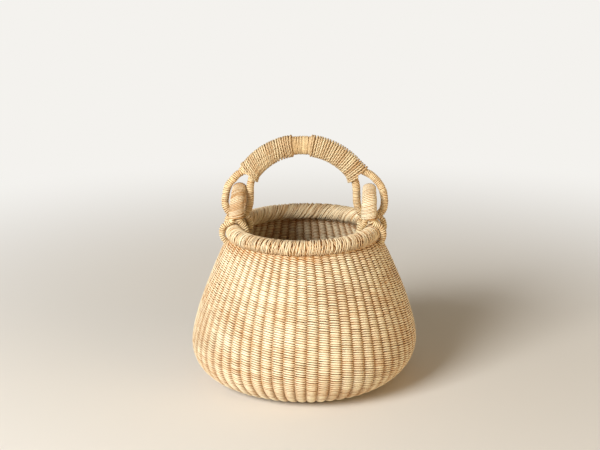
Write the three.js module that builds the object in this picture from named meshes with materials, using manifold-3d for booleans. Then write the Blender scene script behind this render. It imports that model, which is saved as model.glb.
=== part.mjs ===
// Small round basket in natural straw: a ribbed pot-shaped body, a rolled rim wrapped in fine straw,
// a rope ear on each side and a carrying handle whose rope eyes hang in the ears.
// Millimetres, +Z up. The origin is the centre of the underside, and the handle spans X.
import * as THREE from "three";
import { mergeVertices } from "three/addons/utils/BufferGeometryUtils.js";
import Module from "manifold-3d";

// Body
const STAKES = 62; // upright ribs round the body
const BASE_RADIUS = 75; // flat part of the underside
const BELLY_RADIUS = 123; // over the ribs, at the widest place
const BELLY_HEIGHT = 42;
const STAKE_THICKNESS = 5; // wall through a rib
const WEFT_THICKNESS = 2.6; // wall between two ribs
const EDGE_THICKNESS = 3.2; // wall where it enters the rim
const BELLY_REACH = 22; // how far the upright line of the belly carries on upwards
const SHOULDER_REACH = 50; // how far the line of the neck carries on downwards
const RIB_START = 16; // height at which the ribs have their full depth: the underside has none

// Rim
const RIM_RADIUS = 75; // centre line
const RIM_HEIGHT = 163; // centre line
const RIM_THICKNESS = 18;
const RIM_WRAP = 1.2; // straw wrapped round the bundle
const RIM_ENTRY = THREE.MathUtils.degToRad(-61); // where the wall comes in, below the outward direction
const RIM_SIDES = 7; // facets of the wrapped roll

// Ears
const EAR_ROPE = 6.8; // diameter
const EAR_LEAN = 4.5; // how far the posts stand inside the rim's centre line
const EAR_LEG_SPACING = 35; // between the centre lines of an ear's two posts
const EAR_RISE = 48; // from the rim's centre line to the top of the rope's centre line
const EAR_SPLIT_RISE = 14.5; // from the rim's centre line to where the two strands part
const EAR_FORK_LENGTH = 2; // from where the strands part to the binding's lower end
const EAR_BINDING = 0.8; // straw bound round the doubled rope

// Handle
const HANDLE_ROPE = 8.4; // diameter
const GRIP_RISE = 31.8; // from the forks to the top of the arch, along its centre line
const GRIP_WRAP = 1.1; // fine straw wrapped round the doubled rope
const EYE_PLAY = 1.8; // beside the ear, on each side of it
const EYE_SLACK = 3.6; // from the top of the ear to the fork's lowest point on the centre line
const EYE_SHIFT = 0.8; // how far the eye's middle stands outside the ear's
const FORK_LEAN = 11.9; // how far the fork stands inside the ear
const LASHING_CORD = 1.7; // diameter
const LASHING_TURNS = 19;
const LASHING_INNER_ARC = 11; // bare fine wrap from the middle of the grip to each lashing
const LASHING_OUTER_GAP = 2; // from the end of the fine wrap to each lashing
const SPREAD_LENGTH = 7; // last stretch of the fine wrap, where the strands start to part
const STRAND_SPREAD = 1.2; // how far each strand has moved aside at the end of the fine wrap
const WRAP_SPREAD = 1.8; // how much wider each side of the fine wrap is there

// Clearances
const CLEARANCE = 0.3; // between pieces that touch
const TWIN_GAP = 0.5; // between the two strands of a doubled rope
const STRAP_CLEARANCE = 0.8; // between the ear rope and the rim that it goes round
const CORD_CLEARANCE = 0.4; // between the lashing and the fine wrap

// Facets
const ROPE_SIDES = 8;
const EAR_ROPE_SIDES = 7;
const CORD_SIDES = 5;
const CORD_STEPS = 14; // in each turn of a lashing
const EAR_ROPE_STEPS = 72;
const HANDLE_ROPE_STEPS = 88;
const GRIP_POINTS = 7; // that guide each strand from the middle of the grip to where it spreads
const SLEEVE_STEPS = 16;
const POST_STEPS = 4; // of a sleeve's steps, how many an arch gives up for its straight posts
const LATHE_STEPS = 56; // round the rim
const FOOT_STEPS = 4; // from the flat base up to the belly
const SIDE_STEPS = 6; // from the belly up to the rim
const SECTION_STEPS = 6; // on each round end of a flat-sided section

const wasm = await Module();
wasm.setup();

const rimTube = RIM_THICKNESS / 2;
const bundleRadius = rimTube - RIM_WRAP - CLEARANCE;
const rimTop = RIM_HEIGHT + rimTube;
const earRopeRadius = EAR_ROPE / 2;
const handleRopeRadius = HANDLE_ROPE / 2;
const earX = RIM_RADIUS - EAR_LEAN;

// Joining rings of points into closed surfaces

function loft(rings, closed) {
  const sides = rings[0].length;
  const vertices = rings.flat();
  const faces = [];
  const bands = closed ? rings.length : rings.length - 1;
  for (let i = 0; i < bands; i++) {
    const low = i * sides;
    const high = ((i + 1) % rings.length) * sides;
    for (let j = 0; j < sides; j++) {
      const next = (j + 1) % sides;
      faces.push(low + j, low + next, high + next);
      faces.push(low + j, high + next, high + j);
    }
  }
  if (!closed) {
    const last = (rings.length - 1) * sides;
    const first = vertices.push(middleOf(rings[0])) - 1;
    const end = vertices.push(middleOf(rings.at(-1))) - 1;
    for (let j = 0; j < sides; j++) {
      const next = (j + 1) % sides;
      faces.push(first, next, j);
      faces.push(end, last + j, last + next);
    }
  }
  return new THREE.BufferGeometry().setFromPoints(vertices).setIndex(faces);
}

function middleOf(points) {
  const sum = new THREE.Vector3();
  for (const point of points) sum.add(point);
  return sum.divideScalar(points.length);
}

function ringAt(centre, across, along, section) {
  return section.map(([a, b]) =>
    centre.clone().addScaledVector(across, a).addScaledVector(along, b),
  );
}

function circleSection(radius, sides) {
  const points = [];
  for (let i = 0; i < sides; i++) {
    const angle = (2 * Math.PI * i) / sides;
    points.push([radius * Math.cos(angle), radius * Math.sin(angle)]);
  }
  return points;
}

// A section with two flat sides and two round ends, such as two ropes side by side have.
function twinSection(halfLength, halfWidth) {
  const points = [];
  for (const end of [1, -1]) {
    for (let i = 0; i <= SECTION_STEPS; i++) {
      const angle = (Math.PI * i) / SECTION_STEPS - Math.PI / 2;
      const a = halfLength - halfWidth + halfWidth * Math.cos(angle);
      points.push([end * a, end * halfWidth * Math.sin(angle)]);
    }
  }
  return points;
}

// A round rope along points: the section is carried on without turning about the path, and on a closed
// path the turn that is left over is spread along it, so that the ends meet.
function rope(points, radius, sides, closed) {
  const count = points.length;
  const tangents = points.map((_, i) => {
    const before = points[closed ? (i + count - 1) % count : Math.max(i - 1, 0)];
    const after = points[closed ? (i + 1) % count : Math.min(i + 1, count - 1)];
    return after.clone().sub(before).normalize();
  });
  const normal = new THREE.Vector3(0, 1, 0).cross(tangents[0]);
  if (normal.length() < 0.1) normal.set(1, 0, 0).cross(tangents[0]);
  normal.normalize();
  const normals = [normal.clone()];
  const turn = new THREE.Quaternion();
  for (let i = 1; i <= count; i++) {
    turn.setFromUnitVectors(tangents[i - 1], tangents[i % count]);
    normal.applyQuaternion(turn);
    normals.push(normal.clone());
  }
  let leftOver = 0;
  if (closed) {
    const side = tangents[0].clone().cross(normals[0]);
    leftOver = Math.atan2(normals[count].dot(side), normals[count].dot(normals[0]));
  }
  const section = circleSection(radius, sides);
  const rings = points.map((point, i) => {
    const across = normals[i].clone().applyAxisAngle(tangents[i], (-leftOver * i) / count);
    return ringAt(point, across, tangents[i].clone().cross(across), section);
  });
  return loft(rings, closed);
}

function toSolid(geometry) {
  const bare = geometry.clone();
  bare.deleteAttribute("normal");
  bare.deleteAttribute("uv");
  const merged = mergeVertices(bare, 1e-4);
  const vertProperties = new Float32Array(merged.attributes.position.array);
  const triVerts = new Uint32Array(merged.index.array);
  return new wasm.Manifold(new wasm.Mesh({ numProp: 3, vertProperties, triVerts }));
}

function toGeometry(solid) {
  const mesh = solid.getMesh();
  const geometry = new THREE.BufferGeometry();
  geometry.setAttribute("position", new THREE.BufferAttribute(mesh.vertProperties, 3));
  geometry.setIndex(new THREE.BufferAttribute(mesh.triVerts, 1));
  return geometry;
}

// Ear: one closed loop of rope. It runs up the front post and down the rear one, goes under the rim
// through the wall, comes back the same way inside, and goes under the rim again.

const strapRadius = rimTube + STRAP_CLEARANCE + earRopeRadius;
const legY = EAR_LEG_SPACING / 2;
const strapX = Math.sqrt(RIM_RADIUS ** 2 - legY ** 2);
const twinOffset = earRopeRadius + TWIN_GAP / 2;
const earTopZ = RIM_HEIGHT + EAR_RISE;
const earArchZ = earTopZ - legY;
const earSplitZ = RIM_HEIGHT + EAR_SPLIT_RISE;
const bindingEndZ = earSplitZ + EAR_FORK_LENGTH;

function strapPoint(y, degrees) {
  const angle = THREE.MathUtils.degToRad(degrees);
  return new THREE.Vector3(
    strapX + strapRadius * Math.cos(angle),
    y,
    RIM_HEIGHT + strapRadius * Math.sin(angle),
  );
}

function archPoint(x, degrees) {
  const angle = THREE.MathUtils.degToRad(degrees);
  return new THREE.Vector3(x, -legY * Math.cos(angle), earArchZ + legY * Math.sin(angle));
}

function earRopePoints() {
  const outerX = earX + twinOffset;
  const innerX = earX - twinOffset;
  const points = [];
  for (const degrees of [-60, -30, 0, 30]) points.push(strapPoint(-legY, degrees));
  points.push(new THREE.Vector3(outerX, -legY, earSplitZ));
  points.push(new THREE.Vector3(outerX, -legY, bindingEndZ));
  for (const degrees of [0, 30, 60, 90, 120, 150, 180]) points.push(archPoint(outerX, degrees));
  points.push(new THREE.Vector3(outerX, legY, bindingEndZ));
  points.push(new THREE.Vector3(outerX, legY, earSplitZ));
  for (const degrees of [30, 0, -30, -60, -90, -120, -150, -180, -210]) {
    points.push(strapPoint(legY, degrees));
  }
  points.push(new THREE.Vector3(innerX, legY, earSplitZ));
  points.push(new THREE.Vector3(innerX, legY, bindingEndZ));
  for (const degrees of [180, 150, 120, 90, 60, 30, 0]) points.push(archPoint(innerX, degrees));
  points.push(new THREE.Vector3(innerX, -legY, bindingEndZ));
  points.push(new THREE.Vector3(innerX, -legY, earSplitZ));
  for (const degrees of [150, 180, 210, 240, 270]) points.push(strapPoint(-legY, degrees));
  const curve = new THREE.CatmullRomCurve3(points, true, "centripetal");
  return curve.getSpacedPoints(EAR_ROPE_STEPS).slice(0, -1);
}

const earRopePath = earRopePoints();

function earRope() {
  return rope(earRopePath, earRopeRadius, EAR_ROPE_SIDES, true);
}

// Binding: the straw that holds the ear's two strands side by side, from post to post.
const earBoreHalfLength = twinOffset + earRopeRadius + CLEARANCE;
const earBoreHalfWidth = earRopeRadius + CLEARANCE;
const earHalfLength = earBoreHalfLength + EAR_BINDING;
const earHalfWidth = earBoreHalfWidth + EAR_BINDING;

function earBinding() {
  const stations = [[-legY, bindingEndZ, 0]];
  const arcSteps = SLEEVE_STEPS - POST_STEPS;
  for (let i = 0; i <= arcSteps; i++) {
    const angle = (Math.PI * i) / arcSteps;
    const point = archPoint(earX, THREE.MathUtils.radToDeg(angle));
    stations.push([point.y, point.z, angle]);
  }
  stations.push([legY, bindingEndZ, Math.PI]);
  const across = new THREE.Vector3(1, 0, 0);
  const ringsOf = (section) =>
    stations.map(([y, z, angle]) => {
      const outward = new THREE.Vector3(0, -Math.cos(angle), Math.sin(angle));
      return ringAt(new THREE.Vector3(earX, y, z), across, outward, section);
    });
  const outside = ringsOf(twinSection(earHalfLength, earHalfWidth));
  const inside = ringsOf(twinSection(earBoreHalfLength, earBoreHalfWidth));
  return loft([...inside, ...outside.reverse()], true);
}

// Body: the wall's middle surface is a profile of the flat base, a quarter ellipse up to the belly and a
// long curve up to the rim. Offsets to both sides give the ribs over the stakes and the valleys between.

const halfStake = STAKE_THICKNESS / 2;
const rimInner = rimTube - RIM_WRAP;
const entry = new THREE.Vector2(Math.cos(RIM_ENTRY), Math.sin(RIM_ENTRY));

function wallProfile(footSteps, sideSteps) {
  const belly = new THREE.Vector2(BELLY_RADIUS - halfStake, BELLY_HEIGHT);
  const foot = new THREE.EllipseCurve(
    BASE_RADIUS,
    BELLY_HEIGHT,
    belly.x - BASE_RADIUS,
    BELLY_HEIGHT - halfStake,
    -Math.PI / 2,
    0,
  );
  const edge = new THREE.Vector2(RIM_RADIUS, RIM_HEIGHT).addScaledVector(entry, rimInner);
  const side = new THREE.CubicBezierCurve(
    belly,
    new THREE.Vector2(belly.x, BELLY_HEIGHT + BELLY_REACH),
    edge.clone().addScaledVector(entry, SHOULDER_REACH),
    edge,
  );
  const stations = [];
  const add = (curve, t) => stations.push({ at: curve.getPoint(t), tangent: curve.getTangent(t) });
  for (let i = 0; i < footSteps; i++) add(foot, i / footSteps);
  for (let i = 0; i <= sideSteps; i++) add(side, i / sideSteps);
  return stations;
}

function wallRing({ at, tangent }, side, atEdge) {
  const ribDepth = THREE.MathUtils.smoothstep(at.y, halfStake, RIB_START);
  const valley = THREE.MathUtils.lerp(halfStake, WEFT_THICKNESS / 2, ribDepth);
  const ring = [];
  for (let i = 0; i < 2 * STAKES; i++) {
    const thick = i % 2 === 0 ? halfStake : valley;
    const offset = side * (atEdge ? EDGE_THICKNESS / 2 : thick);
    const radius = at.x + offset * tangent.y;
    const angle = (Math.PI * i) / STAKES;
    const z = at.y - offset * tangent.x;
    ring.push(new THREE.Vector3(radius * Math.cos(angle), radius * Math.sin(angle), z));
  }
  return ring;
}

function wallRings(side, footSteps, sideSteps) {
  const stations = wallProfile(footSteps, sideSteps);
  return stations.map((station, i) => wallRing(station, side, i === stations.length - 1));
}

function wovenBody() {
  const outside = wallRings(1, FOOT_STEPS, SIDE_STEPS);
  const inside = wallRings(-1, FOOT_STEPS - 1, SIDE_STEPS - 1);
  const shell = toSolid(loft([...outside, ...inside.reverse()], false));
  const bore = rope(earRopePath, earRopeRadius + CLEARANCE, ROPE_SIDES, true);
  const right = toSolid(bore);
  const left = toSolid(bore.clone().rotateZ(Math.PI));
  return toGeometry(shell.subtract(right).subtract(left));
}

// Rim: a round bundle on the wall's edge, and the straw wrapped round both, open where the wall comes in.

function rimAngles() {
  const half = Math.asin((EDGE_THICKNESS / 2 + CLEARANCE) / rimInner);
  const angles = [];
  for (let i = 0; i <= RIM_SIDES; i++) {
    angles.push(RIM_ENTRY + half + ((2 * Math.PI - 2 * half) * i) / RIM_SIDES);
  }
  return angles;
}

function rimPoint(radius, angle) {
  const x = RIM_RADIUS + radius * Math.cos(angle);
  return new THREE.Vector2(x, RIM_HEIGHT + radius * Math.sin(angle));
}

function revolve(profile) {
  const closed = [...profile, profile[0].clone()];
  return new THREE.LatheGeometry(closed, LATHE_STEPS).rotateX(Math.PI / 2);
}

function rimBundle() {
  return revolve(rimAngles().map((angle) => rimPoint(bundleRadius, angle)));
}

function rimWrap() {
  const outside = rimAngles().map((angle) => rimPoint(rimTube, angle));
  const inside = rimAngles().map((angle) => rimPoint(rimInner, angle));
  return revolve([...outside, ...inside.reverse()]);
}

// Handle: one closed loop of rope. Its two long sides lie one above the other in the grip, and part at
// each fork into an eye that goes round the ear's arch and rests on the rim between the ear's posts.

const barZ = rimTop + CLEARANCE + handleRopeRadius;
const forkZ = earTopZ + earHalfWidth + EYE_SLACK + handleRopeRadius;
const eyeX = earX + EYE_SHIFT;
const eyeHalfWidth = earHalfLength + EYE_PLAY + handleRopeRadius;
const eyeHeight = forkZ - barZ;
const forkX = earX - FORK_LEAN;
const gripRadius = (forkX ** 2 + GRIP_RISE ** 2) / (2 * GRIP_RISE);
const gripCentreZ = forkZ + GRIP_RISE - gripRadius;
const gripAngle = Math.asin(forkX / gripRadius);
const spreadAngle = gripAngle - SPREAD_LENGTH / gripRadius;
const strandOffset = handleRopeRadius + TWIN_GAP / 2;

// The eye's outline, from the fork down the outer side, along the bar and up the inner side, in shares of
// its half width and of its height.
const EYE_OUTLINE = [
  [0.27, 0.985],
  [0.69, 0.875],
  [0.92, 0.73],
  [1, 0.585],
  [1, 0.43],
  [0.94, 0.3],
  [0.77, 0.17],
  [0.42, 0.045],
  [0, 0],
  [-0.42, 0.045],
  [-0.8, 0.16],
  [-0.98, 0.34],
  [-1.01, 0.56],
  [-1.07, 0.79],
];

function gripPoint(radius, angle) {
  const z = gripCentreZ + radius * Math.cos(angle);
  return new THREE.Vector3(radius * Math.sin(angle), 0, z);
}

// How much of the spread at the grip's ends there is at an angle of the grip.
function spreadShare(angle) {
  return Math.max((Math.abs(angle) - spreadAngle) / (gripAngle - spreadAngle), 0);
}

function handleRopePath() {
  const angles = [];
  for (let i = 0; i <= GRIP_POINTS; i++) angles.push((spreadAngle * i) / GRIP_POINTS);
  angles.push((spreadAngle + gripAngle) / 2, gripAngle);
  const strand = (side) =>
    angles.map((angle) => {
      const offset = strandOffset + STRAND_SPREAD * spreadShare(angle);
      return gripPoint(gripRadius + side * offset, angle);
    });
  const eye = EYE_OUTLINE.map(
    ([across, up]) => new THREE.Vector3(eyeX + across * eyeHalfWidth, 0, barZ + up * eyeHeight),
  );
  const half = [...strand(1), ...eye, ...strand(-1).reverse()];
  const mirrored = half
    .slice(1, -1)
    .reverse()
    .map((point) => new THREE.Vector3(-point.x, 0, point.z));
  const curve = new THREE.CatmullRomCurve3([...half, ...mirrored], true, "centripetal");
  return curve.getSpacedPoints(HANDLE_ROPE_STEPS).slice(0, -1);
}

function handleRope() {
  return rope(handleRopePath(), handleRopeRadius, ROPE_SIDES, true);
}

// Fine wrap: a sleeve round both strands, from fork to fork, wider where they spread. Each lashing's two
// ends go through it, into the groove between the strands.
const gripBoreHalfLength = strandOffset + handleRopeRadius + CLEARANCE;
const gripBoreHalfWidth = handleRopeRadius + CLEARANCE;
const gripHalfLength = gripBoreHalfLength + GRIP_WRAP;
const gripHalfWidth = gripBoreHalfWidth + GRIP_WRAP;
const lashingStart = LASHING_INNER_ARC / gripRadius;
const lashingEnd = gripAngle - LASHING_OUTER_GAP / gripRadius;

function gripWrap() {
  const depth = new THREE.Vector3(0, 1, 0);
  const angles = [-gripAngle];
  for (let i = 0; i <= SLEEVE_STEPS; i++) angles.push(spreadAngle * ((2 * i) / SLEEVE_STEPS - 1));
  angles.push(gripAngle);
  const ringsOf = (halfLength, halfWidth) =>
    angles.map((angle) => {
      const outward = new THREE.Vector3(Math.sin(angle), 0, Math.cos(angle));
      const section = twinSection(halfLength + WRAP_SPREAD * spreadShare(angle), halfWidth);
      return ringAt(gripPoint(gripRadius, angle), outward, depth, section);
    });
  const outside = ringsOf(gripHalfLength, gripHalfWidth);
  const inside = ringsOf(gripBoreHalfLength, gripBoreHalfWidth);
  let sleeve = toSolid(loft([...inside, ...outside.reverse()], true));
  for (const angle of [lashingStart, lashingEnd]) {
    for (const side of [1, -1]) {
      const hole = new THREE.CylinderGeometry(
        LASHING_CORD / 2 + CLEARANCE,
        LASHING_CORD / 2 + CLEARANCE,
        gripHalfWidth,
        ROPE_SIDES,
      );
      const at = gripPoint(gripRadius, side * angle);
      hole.translate(at.x, -side * gripHalfWidth, at.z);
      sleeve = sleeve.subtract(toSolid(hole));
    }
  }
  return toGeometry(sleeve);
}

// Lashing: one cord wound round the grip, an open helix on the flat-sided section. Its ends turn square
// into the wrap.
const cordRadius = LASHING_CORD / 2;
const windHalfLength = gripHalfLength + CORD_CLEARANCE + cordRadius;
const windHalfWidth = gripHalfWidth + CORD_CLEARANCE + cordRadius;

// The point at a share of the way round the section at an angle of the grip, from the middle of its
// front side.
function windPoint(share, angle) {
  const straight = windHalfLength + WRAP_SPREAD * spreadShare(angle) - windHalfWidth;
  const arc = Math.PI * windHalfWidth;
  const half = 2 * straight + arc;
  const way = (share - Math.floor(share)) * 2 * half;
  const flip = way < half ? 1 : -1;
  const along = way < half ? way : way - half;
  if (along < straight) return [flip * along, -flip * windHalfWidth];
  if (along > straight + arc) return [flip * (half - along), flip * windHalfWidth];
  const bend = (along - straight) / windHalfWidth;
  return [
    flip * (straight + windHalfWidth * Math.sin(bend)),
    -flip * windHalfWidth * Math.cos(bend),
  ];
}

function lashingPoint(angle, [out, depth]) {
  const point = gripPoint(gripRadius + out, angle);
  point.y = depth;
  return point;
}

function lashingPath() {
  const tuck = gripHalfWidth - GRIP_WRAP - CLEARANCE;
  const bend = cordRadius;
  const tucked = (angle, side) => [
    lashingPoint(angle, [0, -tuck]),
    lashingPoint(angle, [0, bend - windHalfWidth]),
    lashingPoint(angle, [0.3 * side * bend, 0.3 * bend - windHalfWidth]),
  ];
  const points = tucked(lashingStart, 1);
  const steps = LASHING_TURNS * CORD_STEPS;
  for (let i = 0; i <= steps; i++) {
    const share = THREE.MathUtils.lerp(bend, steps - bend, i / steps) / CORD_STEPS;
    const angle = THREE.MathUtils.lerp(lashingStart, lashingEnd, i / steps);
    points.push(lashingPoint(angle, windPoint(share, angle)));
  }
  return [...points, ...tucked(lashingEnd, -1).reverse()];
}

// The least distance between two stretches of the cord that are over half a turn apart, less its thickness.
function leastGap(points) {
  let least = Infinity;
  for (let i = 0; i < points.length; i++) {
    for (let j = i + Math.ceil(CORD_STEPS / 2); j < points.length; j++) {
      least = Math.min(least, points[i].distanceTo(points[j]));
    }
  }
  return least - LASHING_CORD;
}

function gripLashing() {
  const points = lashingPath();
  console.log("least gap of a lashing to itself: " + leastGap(points).toFixed(2) + " mm");
  return rope(points, cordRadius, CORD_SIDES, false);
}

// Assembly

function straw(color, roughness) {
  return new THREE.MeshStandardMaterial({ color, roughness, metalness: 0 });
}

function piece(name, geometry, material) {
  const mesh = new THREE.Mesh(geometry, material);
  mesh.name = name;
  return mesh;
}

const basket = new THREE.Group();
basket.add(piece("woven_body", wovenBody(), straw(0xe2c08c, 0.8)));
basket.add(piece("rim_bundle", rimBundle(), straw(0xc79c64, 0.85)));
basket.add(piece("rim_wrap", rimWrap(), straw(0xe8caa0, 0.7)));
basket.add(piece("handle_rope", handleRope(), straw(0xdfbd8a, 0.75)));
basket.add(piece("grip_wrap", gripWrap(), straw(0xe6c796, 0.7)));

const SIDES = { right: 0, left: Math.PI };
for (const [side, turn] of Object.entries(SIDES)) {
  const half = new THREE.Group();
  half.rotation.z = turn;
  half.add(piece("ear_rope_" + side, earRope(), straw(0xdcb682, 0.75)));
  half.add(piece("ear_binding_" + side, earBinding(), straw(0xe6c796, 0.7)));
  half.add(piece("grip_lashing_" + side, gripLashing(), straw(0xd9ae74, 0.65)));
  basket.add(half);
}

export default basket;
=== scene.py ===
# Small round basket in natural straw, put together as it is made: stakes, twined wall, wrapped rim,
# a rope ear on each side, and a lashed carrying handle whose rope eyes hang in the ears.
# Metres, +Z up. The origin is the centre of the underside, and the handle spans X.
import math

import bpy
import numpy as np
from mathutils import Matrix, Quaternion, Vector


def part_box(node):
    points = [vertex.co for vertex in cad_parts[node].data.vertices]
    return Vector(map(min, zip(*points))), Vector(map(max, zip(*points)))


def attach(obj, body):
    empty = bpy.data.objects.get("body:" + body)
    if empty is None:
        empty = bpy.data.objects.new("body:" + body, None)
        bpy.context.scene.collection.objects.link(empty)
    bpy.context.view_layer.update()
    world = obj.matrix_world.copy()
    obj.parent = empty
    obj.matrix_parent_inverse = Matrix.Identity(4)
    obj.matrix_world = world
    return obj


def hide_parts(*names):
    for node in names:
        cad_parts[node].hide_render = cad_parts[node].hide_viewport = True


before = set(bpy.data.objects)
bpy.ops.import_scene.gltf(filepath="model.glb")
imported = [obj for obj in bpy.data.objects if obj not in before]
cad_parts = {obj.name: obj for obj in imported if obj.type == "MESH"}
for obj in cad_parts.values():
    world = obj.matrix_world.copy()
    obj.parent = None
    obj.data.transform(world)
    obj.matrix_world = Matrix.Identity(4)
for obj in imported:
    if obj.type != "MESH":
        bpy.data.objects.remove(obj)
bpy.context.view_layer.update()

bpy.ops.object.select_all(action="DESELECT")

# Stakes
# Sixty-two stiff straw stalks that everything else is woven round. They cross in the base, bend up at
# the foot and end in the rim. More are added as the gaps grow, and none of them stands quite straight.
MM = 0.001
CM = 0.01
STAKES = 62
STAKE_RADIUS = 0.75 * MM
# How far from the centre each four stakes in turn begin: one in the middle, the next but one where the
# gaps have grown, and those between them further out.
STAKE_STARTS = (0.5 * MM, 32 * MM, 9 * MM, 32 * MM)
STAKE_SAMPLES = 90
# Low, so that the stakes show as painted shade in the gaps between the rows.
STAKE_TONE = 0.3
WALL = 5 * MM
BASE_RADIUS = 75 * MM
BELLY_HEIGHT = 42 * MM
BELLY_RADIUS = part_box("woven_body")[1].x
BELLY_REACH = 22 * MM
SHOULDER_REACH = 50 * MM
RIM_RADIUS = 75 * MM
RIM_HEIGHT = 163 * MM
RIM_TUBE = 9 * MM
RIM_ENTRY = math.radians(-61)
RIM_ENTRY_DEPTH = 7.8 * MM
FOOT_SAMPLES = 60
SIDE_SAMPLES = 160


def unit(vectors):
    """The vectors' directions, at length 1."""
    return vectors / np.linalg.norm(vectors, axis=-1, keepdims=True)


def so_far(points):
    """The length along a line of points, up to each of them."""
    steps = np.linalg.norm(np.diff(points, axis=-2), axis=-1)
    start = np.zeros(steps.shape[:-1] + (1,))
    return np.concatenate([start, np.cumsum(steps, axis=-1)], axis=-1)


def wall_line():
    """The middle of the wall as radius and height, from the centre of the base up into the rim."""
    half = WALL / 2
    belly = BELLY_RADIUS - half
    flat = np.linspace((0, half), (BASE_RADIUS, half), FOOT_SAMPLES, endpoint=False)
    bend = np.linspace(0, math.pi / 2, FOOT_SAMPLES, endpoint=False)
    foot = np.column_stack([
        BASE_RADIUS + (belly - BASE_RADIUS) * np.sin(bend),
        BELLY_HEIGHT - (BELLY_HEIGHT - half) * np.cos(bend),
    ])
    entry = np.array([math.cos(RIM_ENTRY), math.sin(RIM_ENTRY)])
    edge = np.array([RIM_RADIUS, RIM_HEIGHT]) + RIM_ENTRY_DEPTH * entry
    start = np.array([belly, BELLY_HEIGHT])
    start_guide = start + (0, BELLY_REACH)
    edge_guide = edge + SHOULDER_REACH * entry
    t = np.linspace(0, 1, SIDE_SAMPLES)[:, None]
    side = (1 - t) ** 3 * start + 3 * (1 - t) ** 2 * t * start_guide
    side = side + 3 * (1 - t) * t**2 * edge_guide + t**3 * edge
    return np.vstack([flat, foot, side])


WALL_LINE = wall_line()
WALL_WAY = so_far(WALL_LINE)
WALL_RUN = unit(np.gradient(WALL_LINE, axis=0))
WALL_OUT = np.column_stack([WALL_RUN[:, 1], -WALL_RUN[:, 0]])
WALL_END = WALL_WAY[-1]


def soft_field(rng, most_round, finest, count=8):
    """A smooth random field over the wall, about -1 to 1. It has at most most_round waves round the
    basket, and waves no shorter than finest up the wall."""
    rounds = rng.integers(1, most_round + 1, count)
    rates = rng.uniform(-1, 1, count) * 2 * math.pi / finest
    starts = rng.uniform(0, 2 * math.pi, count)

    def field(angle, way):
        waves = [np.sin(k * angle + r * way + s) for k, r, s in zip(rounds, rates, starts)]
        return sum(waves) / math.sqrt(count / 2)

    return field


def ramp_up(value, low, high):
    """Rises smoothly from 0 at low to 1 at high."""
    t = np.clip((value - low) / (high - low), 0, 1)
    return t * t * (3 - 2 * t)


shape_rng = np.random.default_rng(11)
stake_lean = soft_field(shape_rng, 5, 160 * MM)
wall_swell = soft_field(shape_rng, 4, 150 * MM)
STAKE_LEAN = 0.9 * MM
WALL_SWELL = 0.7 * MM
TRUE_LENGTH = 40 * MM  # the wall runs true at its foot and rim, and wanders fully this far from them


def wall_point(turn, way, off):
    """Points off the middle of the wall, with the outward direction there. turn counts stakes round the
    basket, way is the length along the wall line, and off is the distance outwards."""
    angle = 2 * math.pi * turn / STAKES
    radius, height = (np.interp(way, WALL_WAY, WALL_LINE[:, i]) for i in (0, 1))
    out_radius, out_height = (np.interp(way, WALL_WAY, WALL_OUT[:, i]) for i in (0, 1))
    grown = ramp_up(way, BASE_RADIUS, BASE_RADIUS + TRUE_LENGTH)
    free = grown * ramp_up(WALL_END - way, 0, TRUE_LENGTH)
    angle = angle + grown * STAKE_LEAN * stake_lean(angle, way) / np.maximum(radius, BASE_RADIUS)
    radius = radius + off * out_radius + free * WALL_SWELL * wall_swell(angle, way)
    height = height + off * out_height
    points = np.stack([radius * np.cos(angle), radius * np.sin(angle), height], axis=-1)
    outward = np.stack([out_radius * np.cos(angle), out_radius * np.sin(angle), out_height], axis=-1)
    return points, outward


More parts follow.
